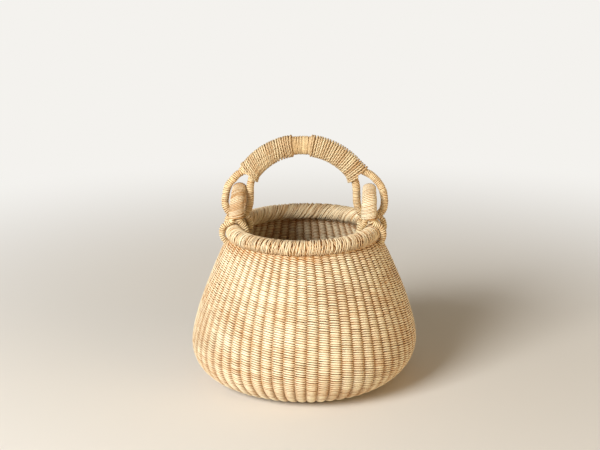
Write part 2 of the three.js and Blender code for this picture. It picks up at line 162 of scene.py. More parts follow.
class Strands:
    """Collects strands of straw for one mesh. A strand is a line of points with an oval section, wide
    across and thin along the outward direction, and a tone from 0, deep, to 1, pale. Its uv map is in
    centimetres along the straw and in turns round it."""

    def __init__(self):
        self.vertices = []
        self.faces = []
        self.places = []
        self.tones = []
        self.total = 0

    def add(self, centres, outward, half_width, half_thickness, tone, sides=6, closed=False):
        """Adds one strand, or several with the same number of points. A closed one ends where it begins."""
        centres = centres if centres.ndim == 3 else centres[None]
        outward = np.broadcast_to(outward, centres.shape)
        count, length = centres.shape[:2]
        if closed:
            ahead = np.roll(centres, -1, 1) - np.roll(centres, 1, 1)
        else:
            ahead = np.gradient(centres, axis=1)
        ahead = unit(ahead)
        across = unit(np.cross(outward, ahead))
        up = np.cross(ahead, across)
        turn = 2 * math.pi * np.arange(sides) / sides - math.pi / 2
        wide = np.broadcast_to(half_width, (count, length))[..., None, None]
        thick = np.broadcast_to(half_thickness, (count, length))[..., None, None]
        ring = across[:, :, None] * np.cos(turn)[:, None] * wide
        ring = ring + up[:, :, None] * np.sin(turn)[:, None] * thick
        self.vertices.append((centres[:, :, None] + ring).reshape(-1, 3))
        self.tones.append(np.repeat(np.broadcast_to(tone, (count, length)).ravel(), sides))

        index = np.arange(count * length * sides).reshape(count, length, sides) + self.total
        self.total += index.size
        following = np.roll(index, -1, 1) if closed else index[:, 1:]
        here = index if closed else index[:, :-1]
        quads = [here, np.roll(here, -1, 2), np.roll(following, -1, 2), following]
        self.faces += np.stack(quads, -1).reshape(-1, 4).tolist()
        way = so_far(centres) / CM
        if closed:
            gap = np.linalg.norm(centres[:, 0] - centres[:, -1], axis=-1) / CM
            way = np.concatenate([way, way[:, -1:] + gap[:, None]], axis=1)
        start, end = (np.repeat(w[..., None], sides, 2) for w in (way[:, :-1], way[:, 1:]))
        low = np.broadcast_to(np.arange(sides) / sides, start.shape)
        high = low + 1 / sides
        corners = [start, low, start, high, end, high, end, low]
        self.places.append(np.stack(corners, -1).reshape(-1, 2))
        if not closed:
            caps = np.concatenate([index[:, 0, ::-1], index[:, -1]])
            self.faces += caps.tolist()
            self.places.append(np.zeros((caps.size, 2)))

    def mesh(self, name):
        """Makes the mesh of all the strands, with their uv map and their tones."""
        made = bpy.data.meshes.new(name)
        made.from_pydata(np.concatenate(self.vertices), [], self.faces)
        made.polygons.foreach_set("use_smooth", np.ones(len(self.faces), bool))
        layer = made.uv_layers.new(name="straw")
        layer.data.foreach_set("uv", np.concatenate(self.places).ravel().astype(np.float32))
        tones = made.attributes.new("tone", "FLOAT", "POINT")
        tones.data.foreach_set("value", np.concatenate(self.tones).astype(np.float32))
        made.update()
        return made


class Wire:
    """A shader value that plain sums work on: each sum adds the Math node that works it out."""

    def __init__(self, tree, socket=None):
        self.tree = tree
        self.socket = socket

    def node(self, kind, settings, values, output=0):
        """Adds a node. Its settings go in first, then the values or links of its sockets."""
        made = self.tree.nodes.new(kind)
        for name, value in settings.items():
            setattr(made, name, value)
        for name, value in values.items():
            if isinstance(value, Wire):
                self.tree.links.new(value.socket, made.inputs[name])
            else:
                made.inputs[name].default_value = value
        return None if output is None else Wire(self.tree, made.outputs[output])

    def other(self, output):
        return Wire(self.tree, self.socket.node.outputs[output])

    def sum(self, operation, first, second):
        return self.node("ShaderNodeMath", {"operation": operation}, {0: first, 1: second})

    def __add__(self, value):
        return self.sum("ADD", self, value)

    def __sub__(self, value):
        return self.sum("SUBTRACT", self, value)

    def __rsub__(self, value):
        return self.sum("SUBTRACT", value, self)

    def __mul__(self, value):
        return self.sum("MULTIPLY", self, value)

    def __rmul__(self, value):
        return self.sum("MULTIPLY", value, self)

    def __pow__(self, value):
        return self.sum("POWER", self, value)


def shade(red, green, blue):
    """A colour given as it looks on a screen, 0 to 255."""
    share = [c / 255 for c in (red, green, blue)]
    return [c / 12.92 if c <= 0.04045 else ((c + 0.055) / 1.055) ** 2.4 for c in share] + [1]


FIBRE_ALONG = 0.7  # of the pattern to a centimetre of straw
FIBRE_ROUND = 9  # and to a turn round it
STRETCH_ALONG = 0.35
FIBRE_SEED = 31  # puts each tone of straw at another place in the pattern
STRETCH_SEED = 17
FIBRE_CONTRAST = 0.7
STRETCH_CONTRAST = 0.5
# The painted shade at a strand's edges: how fast it grows towards them, its strength on deep straw, and how
# much of that pale straw loses.
GAP_SHADE_POWER = 1.7
GAP_SHADE_ON_DEEP = 1.3
GAP_SHADE_LOST_ON_PALE = 0.6
FIBRE_ROUGHNESS = 0.3
FIBRE_HEIGHT = 0.1 * MM
BUMP_STRENGTH = 0.35
STRAW_SHEEN = 0.4


def straw_finish(name, pale, deep, gap_shade_colour, gap_shade_strength=0.8, roughness=0.55, reach=4):
    """Dry straw: a pale skin with long fibres and brown stretches, with painted shade at both edges of a
    strand, where it meets the next one, most of all where the strand itself is dark. The third colour is
    that painted shade, the argument after it says how dark it gets, and reach how soon: at 4 only at
    the very edge, at 6 well before it."""
    finish = bpy.data.materials.new(name)
    finish.use_nodes = True
    tree = finish.node_tree
    tree.nodes.clear()
    wires = Wire(tree)
    place = wires.node("ShaderNodeUVMap", {"uv_map": "straw"}, {})
    along = wires.node("ShaderNodeSeparateXYZ", {}, {0: place})
    round_it = along.other(1)
    tone = wires.node("ShaderNodeAttribute", {"attribute_name": "tone"}, {}, "Fac")
    fibre_place = wires.node(
        "ShaderNodeCombineXYZ",
        {},
        {0: along * FIBRE_ALONG + tone * FIBRE_SEED, 1: round_it * FIBRE_ROUND},
    )
    fibre = wires.node(
        "ShaderNodeTexNoise",
        {"noise_dimensions": "2D"},
        {"Vector": fibre_place, "Scale": 1, "Detail": 3},
    )
    stretch_place = wires.node(
        "ShaderNodeCombineXYZ", {}, {0: along * STRETCH_ALONG, 1: tone * STRETCH_SEED}
    )
    stretch = wires.node(
        "ShaderNodeTexNoise",
        {"noise_dimensions": "2D"},
        {"Vector": stretch_place, "Scale": 1, "Detail": 1},
    )
    light = tone + (fibre - 0.5) * FIBRE_CONTRAST + (stretch - 0.5) * STRETCH_CONTRAST
    skin = wires.node(
        "ShaderNodeMix",
        {"data_type": "RGBA", "clamp_factor": True},
        {0: light, 6: deep, 7: pale},
        2,
    )
    # Painted shade towards both edges of a strand, where it meets the next one, less on pale straw.
    edge = wires.sum("PINGPONG", round_it, 0.25) * reach
    painted_gap_shade = edge**GAP_SHADE_POWER * (GAP_SHADE_ON_DEEP - GAP_SHADE_LOST_ON_PALE * tone) * gap_shade_strength
    colour = wires.node(
        "ShaderNodeMix",
        {"data_type": "RGBA", "clamp_factor": True},
        {0: painted_gap_shade, 6: skin, 7: gap_shade_colour},
        2,
    )
    bump = wires.node(
        "ShaderNodeBump",
        {},
        {"Strength": BUMP_STRENGTH, "Distance": FIBRE_HEIGHT, "Height": fibre},
    )
    surface = wires.node(
        "ShaderNodeBsdfPrincipled",
        {},
        {
            "Base Color": colour,
            "Roughness": (fibre - 0.5) * FIBRE_ROUGHNESS + roughness,
            "Specular IOR Level": STRAW_SHEEN,
            "Normal": bump,
        },
    )
    wires.node("ShaderNodeOutputMaterial", {}, {"Surface": surface}, None)
    return finish


def add_piece(strands, name, finish, body, slot, *nodes):
    """Makes the strands one object of the scene, on its body and in place of the solids named."""
    mesh = strands.mesh(name)
    mesh.materials.append(finish)
    piece = bpy.data.objects.new(name, mesh)
    bpy.context.scene.collection.objects.link(piece)
    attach(piece, body)
    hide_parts(*nodes)


# The stakes' straw is painted darker than the weave's, as painted shade in the gaps between the rows where
# the stakes show.
stake_straw = straw_finish(
    "stake_straw", shade(200, 146, 84), shade(164, 106, 50), shade(124, 74, 30)
)
stakes = Strands()
for stake in range(STAKES):
    way = np.linspace(STAKE_STARTS[stake % len(STAKE_STARTS)], WALL_END, STAKE_SAMPLES)
    points, outward = wall_point(np.full(way.shape, float(stake)), way, 0)
    stakes.add(points, outward, STAKE_RADIUS, STAKE_RADIUS, STAKE_TONE, sides=5)
add_piece(stakes, "stakes", stake_straw, "basket", "straw_weave", "woven_body")

# Twined wall
# Two straw strands go round the stakes in one long spiral: one passes in front of each stake and the
# other behind it, and they change places in every gap. Beaten tight, the rows make a rib on each stake.
ROW = 2.4 * MM  # from one row to the next
ROW_THICKNESS = 0.8 * MM  # half a strand's, on a stake
ROW_TWIST = 0.75 * MM
ROW_LIFT = 0.25 * MM
ROW_WAVE = 0.5 * MM
ROW_WANDER = 0.17 * MM
ROW_STEPS = 6
BASE_STEPS = 4
GAP_WIDTH = 0.82  # a strand's width in a gap, as a share of ROW
RIB_WIDTH = 0.28  # what it gains on a stake
RIB_POWER = 1.3
GAP_THICKNESS = 0.7  # likewise, as a share of ROW_THICKNESS
RIB_THICKNESS = 0.3
WIDTH_SPREAD = 0.16
DEPTH_SPREAD = 0.07
CROSSING_POWER = 0.35  # the lower, the quicker a strand crosses the wall in a gap
LOOSE_FROM = 0.6
LOOSE_TO = 1.6
LOOSE_NARROWING = 0.1
RIB_PROUD = 0.45 * MM
RIB_START = 25 * MM  # the ribs come up over this length beyond the foot
EDGE_DEPTH = 0.9 * MM
EDGE_LENGTH = 10 * MM
RIM_SHADOW_LENGTH = 14 * MM
ROW_TONE = 0.66
# Tone spreads of the rows. straw, patch and step are the straw's own; behind is painted light on the inside
# of the wall, gap is painted shade in the valleys between the ribs, and edge is the rim's painted shadow on
# the top rows.
ROW_TONES = {"straw": 0.3, "patch": 0.07, "step": 0.08, "behind": 0.06, "gap": 0.5, "edge": 0.3}
STRAW_GAPS = 9  # a straw's mean length, in gaps
# Rows, and the gaps in one round of them: at first only every fourth stake is there, then every other
# one, then all.
BASE_RINGS = ((2, STAKES / 4), (10, STAKES // 2), (18, STAKES))
WALL_BANDS = {"weave_foot": 19, "weave_belly": 20, "weave_side": 20, "weave_neck": 20}

weave_straw = straw_finish(
    "weave_straw", shade(253, 243, 208), shade(198, 141, 70), shade(152, 90, 28), 1, reach=6
)
weave_rng = np.random.default_rng(23)
row_wave = soft_field(weave_rng, 7, 60 * MM)
patches = soft_field(weave_rng, 11, 30 * MM, count=12)
loose_places = soft_field(weave_rng, 14, 24 * MM, count=12)


def drift(rng, count, steps):
    """Smooth random values from -1 to 1 along a strand, with a new one every so many steps."""
    place = np.arange(count) / steps
    knots = rng.uniform(-1, 1, int(place[-1]) + 2)
    whole = place.astype(int)
    share = ramp_up(place - whole, 0, 1)
    return knots[whole] * (1 - share) + knots[whole + 1] * share


def lengths_of_straw(rng, count, steps):
    """Tones from 0 to 1 along a strand that is made of straws laid end to end."""
    tones = rng.beta(2.2, 1.8, int(count / steps) * 2 + 3)
    ends = np.cumsum(rng.uniform(0.5, 1.5, tones.size)) * steps
    return tones[np.minimum(np.searchsorted(ends, np.arange(count)), tones.size - 1)]


def twine(strands, start, rows, gaps, steps, sides):
    """Winds the pair of strands rows times round the basket, from a place on the wall line upwards."""
    count = rows * gaps * steps + 1
    turn = np.arange(count) / steps
    base_way = start + ROW * turn / gaps
    turn = turn * STAKES / gaps
    angle = 2 * math.pi * turn / STAKES
    loose = ramp_up(loose_places(angle, base_way), LOOSE_FROM, LOOSE_TO)
    grown = ramp_up(base_way, BASE_RADIUS, BASE_RADIUS + RIB_START)
    full = WALL / 2 - ROW_THICKNESS + RIB_PROUD * grown
    depth = full + (EDGE_DEPTH - full) * ramp_up(base_way, WALL_END - EDGE_LENGTH, WALL_END)
    wave = ROW_WAVE * row_wave(angle, base_way) * grown
    # The top rows are painted darker over this length under the rim: the rim's painted shadow.
    near_rim = ramp_up(base_way, WALL_END - RIM_SHADOW_LENGTH, WALL_END)
    for side in (0, 1):
        phase = math.pi * (turn * gaps / STAKES + side)
        front = np.cos(phase)
        standing = np.abs(front)
        crossing = np.sign(front) * standing**CROSSING_POWER
        off = crossing * depth * (1 + DEPTH_SPREAD * drift(weave_rng, count, steps))
        shift = ROW_LIFT * standing - ROW_TWIST * np.sin(phase)
        shift = shift + ROW_WANDER * drift(weave_rng, count, 3 * steps) + wave
        way = np.clip(base_way + shift, 0, WALL_END)
        points, outward = wall_point(turn, way, off)
        width = ROW / 2 * (GAP_WIDTH + RIB_WIDTH * standing**RIB_POWER)
        width = width * (1 + WIDTH_SPREAD * drift(weave_rng, count, 2 * steps))
        width = width * (1 - LOOSE_NARROWING * loose)
        thickness = ROW_THICKNESS * (GAP_THICKNESS + RIB_THICKNESS * standing)
        straw = lengths_of_straw(weave_rng, count, STRAW_GAPS * steps)
        tone = ROW_TONES["straw"] * straw + ROW_TONE
        tone = tone + ROW_TONES["patch"] * patches(angle, base_way)
        tone = tone + ROW_TONES["step"] * drift(weave_rng, count, steps)
        # Painted light: the strands' parts behind the stakes, on the inside of the wall, are made paler.
        tone = tone + ROW_TONES["behind"] * (front < 0)
        # Painted shade in the valleys between the ribs, where the strands cross between the stakes.
        tone = tone - ROW_TONES["gap"] * (1 - standing) ** RIB_POWER - ROW_TONES["edge"] * near_rim
        strands.add(points, outward, width, thickness, np.clip(tone, 0, 1), sides)


base = Strands()
way = BASE_RADIUS - sum(rows for rows, gaps in BASE_RINGS) * ROW
for rows, gaps in BASE_RINGS:
    twine(base, way, rows, gaps, BASE_STEPS, sides=4)
    way += rows * ROW
add_piece(base, "weave_base", weave_straw, "basket", "straw_weave", "woven_body")

for name, rows in WALL_BANDS.items():
    wall = Strands()
    twine(wall, way, rows, STAKES, ROW_STEPS, sides=6)
    add_piece(wall, name, weave_straw, "basket", "straw_weave", "woven_body")
    way += rows * ROW

# Rim
# The stake ends and more straw make a round bundle on the wall's edge. Two layers of fine straw are
# sewn over it, out through the wall below and back over the top. No two of them lie quite alike.
BUNDLE_STRAWS = 10
BUNDLE_STRAW_RADIUS = 2.5 * MM
BUNDLE_REACH = 5.2 * MM
BUNDLE_TWISTS = 4
BUNDLE_SAMPLES = 168
WRAP_STEPS = 14
WRAP_START = math.radians(-57)
WRAP_END = math.radians(294)
WRAP_TOP = math.radians(80)
# How deep each layer lies, half its straws' width, and how far they lean along the rim by the top of
# their way over it (outer) and after that (inner).
WRAP_LAYERS = (
    {
        "straws": 270, "depth": 0.7 * MM, "width": 0.85 * MM,
        "outer": -5 * MM, "inner": 14 * MM, "tone": 0.3,
    },
    {
        "straws": 318, "depth": 0, "width": 0.66 * MM,
        "outer": 2 * MM, "inner": 17 * MM, "tone": 0.75,
    },
)
WRAP_THICKNESS = 0.6 * MM
START_SPREAD = math.radians(8)
OUTER_SPREAD = 2.2 * MM
INNER_SPREAD = 1.2 * MM
WRAP_WANDER = 0.6 * MM
WRAP_SPACE_SPREAD = 0.2
WRAP_LIFT_SPREAD = 0.2 * MM
WRAP_WIDTH_SPREAD = 0.25
WRAP_TONE_SPREAD = 0.22
END_DEPTH = 1.5 * MM
END_NARROWING = 0.25
# How dark the painted shade at the wraps' ends is, where they go into the wall under the rim.
WRAP_END_PAINTED_SHADE = 0.6

bundle_straw = straw_finish(
    "bundle_straw", shade(190, 142, 88), shade(146, 98, 52), shade(92, 56, 26)
)
rim_straw = straw_finish(
    "rim_straw", shade(244, 228, 192), shade(200, 152, 94), shade(144, 92, 44), 0.8
)
rim_rng = np.random.default_rng(37)


def rim_frame(around, angle, radius):
    """Points in the rim's tube with their outward directions. around is the angle round the basket, and
    angle the one round the tube, from straight outwards."""
    out = np.cos(angle)
    reach = RIM_RADIUS + radius * out
    height = RIM_HEIGHT + radius * np.sin(angle)
    points = np.stack([reach * np.cos(around), reach * np.sin(around), height], -1)
    outward = np.stack([out * np.cos(around), out * np.sin(around), np.sin(angle)], -1)
    return points, outward


bundle = Strands()
around = np.linspace(0, 2 * math.pi, BUNDLE_SAMPLES, endpoint=False)
for straw in range(BUNDLE_STRAWS):
    angle = 2 * math.pi * straw / BUNDLE_STRAWS + BUNDLE_TWISTS * around
    points, outward = rim_frame(around, angle, BUNDLE_REACH)
    radius = BUNDLE_STRAW_RADIUS
    bundle.add(points, outward, radius, radius, rim_rng.uniform(), sides=8, closed=True)
add_piece(bundle, "rim_bundle_straws", bundle_straw, "basket", "straw_bundle", "rim_bundle")

wraps = Strands()
share = np.linspace(0, 1, WRAP_STEPS)[None, :]
ends = np.abs(2 * share - 1) ** 8  # 1 at both ends of a straw, and soon 0 away from them
for layer in WRAP_LAYERS:
    straws = layer["straws"]
    spread = rim_rng.uniform(-1, 1, (straws, 9)).T[:, :, None]
    low, out_lean, in_lean, wave, phase, lift, breadth, paleness, place = spread
    angle = WRAP_START + START_SPREAD * low + (WRAP_END - WRAP_START) * share
    over = ramp_up(angle, WRAP_START, WRAP_TOP)
    inside = ramp_up(angle, WRAP_TOP, WRAP_END)
    lean = (layer["outer"] + OUTER_SPREAD * out_lean) * over
    lean = lean + (layer["inner"] + INNER_SPREAD * in_lean) * inside
    wander = WRAP_WANDER * wave * np.sin(3 * angle + 6 * phase)
    around = 2 * math.pi * (np.arange(straws)[:, None] + WRAP_SPACE_SPREAD * place) / straws
    around = around + (lean + wander) / RIM_RADIUS
    radius = RIM_TUBE - WRAP_THICKNESS / 2 - layer["depth"]
    radius = radius + WRAP_LIFT_SPREAD * lift - END_DEPTH * ends
    points, outward = rim_frame(around, angle, radius)
    width = layer["width"] * (1 + WRAP_WIDTH_SPREAD * breadth) * (1 - END_NARROWING * ends)
    # The straws' ends, where they go into the wall under the rim, get painted shade.
    tone = np.clip(layer["tone"] + WRAP_TONE_SPREAD * paleness - WRAP_END_PAINTED_SHADE * ends, 0, 1)
    wraps.add(points, outward, width, WRAP_THICKNESS, tone, sides=4)
add_piece(wraps, "rim_wraps", rim_straw, "basket", "straw_wrap", "rim_wrap")

# Ears
# A closed loop of straw rope on each side goes round the rim at both feet. Its feet are wound with one
# coarse straw, and above the rim a fine straw binds its two strands into a smooth upside-down U.
EAR_X = 70.5 * MM
EAR_LEG = 17.5 * MM
EAR_ROPE_RADIUS = 3.4 * MM
EAR_STRAND = 3.65 * MM
EAR_ARCH = 190.8 * MM
EAR_SPLIT = 177.5 * MM
EAR_BINDING_END = 179.5 * MM
STRAP_X = math.sqrt(RIM_RADIUS**2 - EAR_LEG**2)
STRAP_RADIUS = 13.2 * MM
EAR_HALF_LENGTH = 8.1 * MM
EAR_HALF_WIDTH = 4.8 * MM
EAR_TOP_NARROWING = 0.9 * MM
EAR_TOP_SWELL = 0.6 * MM
EAR_TOP_START = EAR_ARCH - 2 * MM
ARCH_SAMPLES = 40
ARCH_FOOT_SAMPLES = 8
STRAP_PITCH = 2.15 * MM
STRAP_STRAW = 0.95 * MM
STRAP_PROUD = 0.15 * MM
STRAP_TONES = (0.5, 1)
STRAP_ANGLES = range(30, -240, -30)  # in degrees from straight outwards, down and round the rim
STRAP_SAMPLES = 90
STRAP_STEPS = 12
STRAP_HIDDEN = 3 * MM  # how far the strands run on inside the binding
BINDING_PITCH = 1.5 * MM
BINDING_STRAW = 0.6 * MM
BINDING_STEPS = 16
# How dark the painted shade at both ends of an ear binding is, where it meets the straps.
BINDING_PAINTED_SHADE = 0.7
BINDING_LEAN = {"right": 1.6 * MM, "left": -2.2 * MM}
BINDING_TONES = {"right": (0.65, 1), "left": (0.05, 0.65)}
EAR_LEAN = {"right": 0, "left": 2 * MM}
CORE_TONE = 0.1  # of the plain core inside a winding
CURVE_SAMPLES = 16

ear_straw = straw_finish(
    "ear_straw", shade(238, 218, 174), shade(200, 152, 94), shade(124, 76, 36), 0.95
)
binding_straw = straw_finish(
    "binding_straw", shade(242, 227, 194), shade(192, 146, 92), shade(136, 90, 46), 0.9
)
ear_rng = np.random.default_rng(41)


def smooth_path(points, count):
    """Evenly spaced points on a smooth curve through the given ones."""
    knots = np.asarray(points, float)
    steps = np.linalg.norm(np.diff(knots, axis=0), axis=1)[:, None]
    slopes = np.diff(knots, axis=0) / steps
    inner = (slopes[:-1] * steps[1:] + slopes[1:] * steps[:-1]) / (steps[:-1] + steps[1:])
    tangents = np.vstack([slopes[:1], inner, slopes[-1:]])
    t = np.linspace(0, 1, CURVE_SAMPLES, endpoint=False)[:, None]
    pieces = []
    for i in range(len(knots) - 1):
        start = (1 + 2 * t) * (1 - t) ** 2 * knots[i] + t * (1 - t) ** 2 * steps[i] * tangents[i]
        end = t**2 * (3 - 2 * t) * knots[i + 1] + t**2 * (t - 1) * steps[i] * tangents[i + 1]
        pieces.append(start + end)
    fine = np.vstack([*pieces, knots[-1:]])
    way = so_far(fine)
    even = np.linspace(0, way[-1], count)
    return np.stack([np.interp(even, way, fine[:, i]) for i in range(3)], axis=-1)


def carry_across(path, start):
    """A direction square to the path at each point, carried along it without turning about it."""
    ahead = unit(np.gradient(path, axis=0))
    across = [unit(np.asarray(start) - np.dot(start, ahead[0]) * ahead[0])]
    for step in ahead[1:]:
        kept = across[-1] - np.dot(across[-1], step) * step
        across.append(unit(kept))
    return np.array(across)


def oval(share, half_length, half_width, fullness):
    """Points and normals round a section, from the middle of its front side. A fullness of 1 is an
    ellipse, and a lower one comes nearer to flat sides."""

    def at(share):
        turn = 2 * math.pi * share
        across, depth = np.sin(turn), -np.cos(turn)
        across = half_length * np.sign(across) * np.abs(across) ** fullness
        depth = half_width * np.sign(depth) * np.abs(depth) ** fullness
        return np.stack([across, depth], axis=-1)

    run = at(share + 1e-4) - at(share - 1e-4)
    return at(share), unit(np.stack([run[:, 1], -run[:, 0]], axis=-1))


WIND_SLIP = 0.22  # in turns
# A winding's painted shade at its ends spans this many turns.
WIND_SHADED_TURNS = 0.8  # in turns, the darker stretch at each end
WIND_RISE = 0.12 * MM
WIND_WIDTH = 1.02  # as a share of the pitch
WIND_WIDTH_SPREAD = 0.18
WIND_TONE_SPREAD = 0.22


def wind(strands, rng, path, across, section, pitch, thickness, steps, tones, lean=0.0, painted_end_shade=0.0):
    """Winds one straw round a path. across is the direction of the section's length at each point, and
    section its half length, half width and fullness. The turns lean along the path by lean on either
    side of the middle, and the last argument gives both ends of the winding painted shade."""
    length = so_far(path)[-1]
    turns = max(2, round(length / pitch))
    count = turns * steps + 1
    share = np.linspace(0, 1, count)
    slip = WIND_SLIP * drift(rng, count, 1.3 * steps) / turns
    knots = np.linspace(0, 1, len(path))
    half_length, half_width, fullness = section

    def here(place, line):
        line = np.broadcast_to(line, path.shape)
        return np.stack([np.interp(place, knots, line[:, i]) for i in range(3)], -1)

    place = np.clip(share + slip, 0, 1)
    half_length = np.interp(place, knots, np.broadcast_to(half_length, len(path)))
    half_width = np.interp(place, knots, np.broadcast_to(half_width, len(path)))
    point, normal = oval(share * turns, half_length - thickness, half_width - thickness, fullness)
    free = ramp_up(np.minimum(place, 1 - place) * length, 0, 2 * abs(lean) + 0.1 * MM)
    place = place + lean / length * free * point[:, 0] / half_length
    side = unit(here(place, across))
    depth = unit(np.cross(here(place, unit(np.gradient(path, axis=0))), side))
    outward = side * normal[:, :1] + depth * normal[:, 1:]
    rise = (WIND_RISE * drift(rng, count, 0.8 * steps))[:, None]
    centres = here(place, path) + side * point[:, :1] + depth * point[:, 1:] + outward * rise
    width = pitch / 2 * WIND_WIDTH * (1 + WIND_WIDTH_SPREAD * drift(rng, count, 1.5 * steps))
    low, high = tones
    tone = low + (high - low) * lengths_of_straw(rng, count, 2.5 * steps)
    tone = tone + WIND_TONE_SPREAD * drift(rng, count, 0.3 * steps)
    # Painted shade on the turns at both ends of the winding.
    tone = tone - painted_end_shade * (np.minimum(share, 1 - share) * turns < WIND_SHADED_TURNS)
    strands.add(centres, outward, width, thickness, np.clip(tone, 0, 1), sides=5)


def strap_point(y, degrees):
    """A point of the strand's way round the rim, at an angle from straight outwards."""
    angle = math.radians(degrees)
    return (STRAP_X + STRAP_RADIUS * math.cos(angle), y, RIM_HEIGHT + STRAP_RADIUS * math.sin(angle))


def strap_path(y):
    """From inside the binding down the outer strand, under the rim and up to the inner strand."""
    outer, inner = EAR_X + EAR_STRAND, EAR_X - EAR_STRAND
    hidden = EAR_BINDING_END + STRAP_HIDDEN
    points = [(outer, y, hidden), (outer, y, EAR_BINDING_END), (outer, y, EAR_SPLIT)]
    points += [strap_point(y, degrees) for degrees in STRAP_ANGLES]
    points += [(inner, y, EAR_SPLIT), (inner, y, EAR_BINDING_END), (inner, y, hidden)]
    return smooth_path(points, STRAP_SAMPLES)


def ear_arch():
    """The middle of the doubled rope, from one foot's binding over the top to the other's."""
    heights = np.linspace(EAR_BINDING_END, EAR_ARCH, ARCH_FOOT_SAMPLES, endpoint=False)
    foot = [(-EAR_LEG, z) for z in heights]
    angles = np.linspace(0, math.pi, ARCH_SAMPLES)
    arch = [(-EAR_LEG * math.cos(a), EAR_ARCH + EAR_LEG * math.sin(a)) for a in angles]
    line = np.array([*foot, *arch, *[(-y, z) for y, z in reversed(foot)]])
    return np.column_stack([np.full(len(line), EAR_X), line])


EAR_SIDES = {"right": 1, "left": -1}
for side, sign in EAR_SIDES.items():
    facing = np.array([sign, sign, 1])
    straps = Strands()
    for y in (-EAR_LEG, EAR_LEG):
        path = strap_path(y) * facing
        across = carry_across(path, (0, 1, 0))
        core = EAR_ROPE_RADIUS - STRAP_STRAW
        straps.add(path, across, core, core, CORE_TONE, sides=8)
        section = (EAR_ROPE_RADIUS + STRAP_PROUD, EAR_ROPE_RADIUS + STRAP_PROUD, 1)
        wind(
            straps, ear_rng, path, across, section, STRAP_PITCH, STRAP_STRAW, STRAP_STEPS, STRAP_TONES
        )
    add_piece(straps, f"ear_straps_{side}", ear_straw, "basket", "straw_rope", f"ear_rope_{side}")

    binding = Strands()
    path = ear_arch() * facing
    across = (1.0, 0, 0)
    depth = np.cross(unit(np.gradient(path, axis=0)), across)
    top = ramp_up(path[:, 2], EAR_TOP_START, EAR_ARCH + EAR_LEG)
    half_length = EAR_HALF_LENGTH - EAR_TOP_NARROWING * top
    half_width = EAR_HALF_WIDTH + EAR_TOP_SWELL * top
    path[:, 0] -= sign * EAR_LEAN[side] * ramp_up(path[:, 2], EAR_SPLIT, EAR_ARCH + EAR_LEG)
    core = (half_length - BINDING_STRAW, half_width - BINDING_STRAW)
    binding.add(path, depth, *core, CORE_TONE, sides=12)
    section = (half_length, half_width, 1)
    wind(
        binding, ear_rng, path, across, section, BINDING_PITCH, BINDING_STRAW, BINDING_STEPS,
        BINDING_TONES[side], BINDING_LEAN[side], BINDING_PAINTED_SHADE,
    )
    name = f"ear_winding_{side}"
    add_piece(binding, name, binding_straw, "basket", "straw_wrap", f"ear_binding_{side}")

# Handle
# One closed loop of straw rope, doubled in the grip and open at both ends into an eye that hangs in an
# ear. All of it is wound with fine straw, and each half of the grip is lashed over with twisted cord.
HANDLE_ROPE_RADIUS = 4.2 * MM
HANDLE_STRAND = 4.45 * MM
BAR_HEIGHT = 176.5 * MM
FORK_HEIGHT = 223.3 * MM
EYE_X = 71.3 * MM
EYE_HALF_WIDTH = 14.15 * MM
# The eye's middle line from the fork round its outer side, and on to the inner one, as shares of the
# half width and of the height from the bar to the fork.
EYE_SHOULDERS = {
    "right": (
        (-0.03, 1.02), (0.516, 0.868), (0.897, 0.688), (1.07, 0.47), (1.07, 0.3), (0.9, 0.15),
    ),
    "left": (
        (-0.12, 1), (0.23, 0.885), (0.565, 0.771), (0.73, 0.66), (0.84, 0.53), (0.91, 0.41),
        (0.92, 0.3), (0.78, 0.17),
    ),
}
EYE_OUTLINE = (
    (0.42, 0.045), (0, 0), (-0.42, 0.045), (-0.8, 0.16), (-0.98, 0.34), (-1.01, 0.56),
    (-1.07, 0.79),
)
EYE_SPREAD = {"right": 1.5 * MM, "left": 0.3 * MM}
GRIP_RADIUS = 69.9 * MM
GRIP_CENTRE = 185.2 * MM
GRIP_ANGLE = math.radians(57)
SPREAD_ANGLE = math.radians(51.3)
STRAND_SPREAD = 1.2 * MM
WRAP_SPREAD = 1.8 * MM
GRIP_HALF_LENGTH = 10.05 * MM
GRIP_HALF_WIDTH = 5.6 * MM
GRIP_FULLNESS = 0.85
EYE_PITCH = {"right": 1.6 * MM, "left": 2.05 * MM}
EYE_STRAW = {"right": 0.6 * MM, "left": 0.85 * MM}
EYE_TONES = {"right": (0.55, 0.9), "left": (0.45, 0.95)}
EYE_LEAN = 0.8 * MM
EYE_PROUD = 0.1 * MM
EYE_OVERLAP = 0.04  # in radians, how far the eye's strands run on inside the grip
EYE_SAMPLES = 160
EYE_STEPS = 12
GRIP_PITCH = 1.4 * MM
GRIP_STRAW = 0.5 * MM
GRIP_TONES = (0.3, 0.9)
GRIP_CORE_DEPTH = 0.8 * MM
GRIP_CORE_TONE = 0.2
GRIP_SAMPLES = 120
GRIP_STEPS = 18

handle_straw = straw_finish(
    "handle_straw", shade(238, 214, 170), shade(198, 150, 92), shade(130, 84, 42), 0.85
)
grip_straw = straw_finish(
    "grip_straw", shade(240, 214, 166), shade(200, 156, 100), shade(132, 88, 46), 0.75
)
handle_rng = np.random.default_rng(53)


def grip_point(radius, angle):
    """A point over the middle of the grip's arch, at an angle from straight up."""
    return (radius * math.sin(angle), 0, GRIP_CENTRE + radius * math.cos(angle))


def spread_share(angle):
    """How much of the spread at the grip's ends there is at an angle of the grip."""
    return np.maximum((np.abs(angle) - SPREAD_ANGLE) / (GRIP_ANGLE - SPREAD_ANGLE), 0)


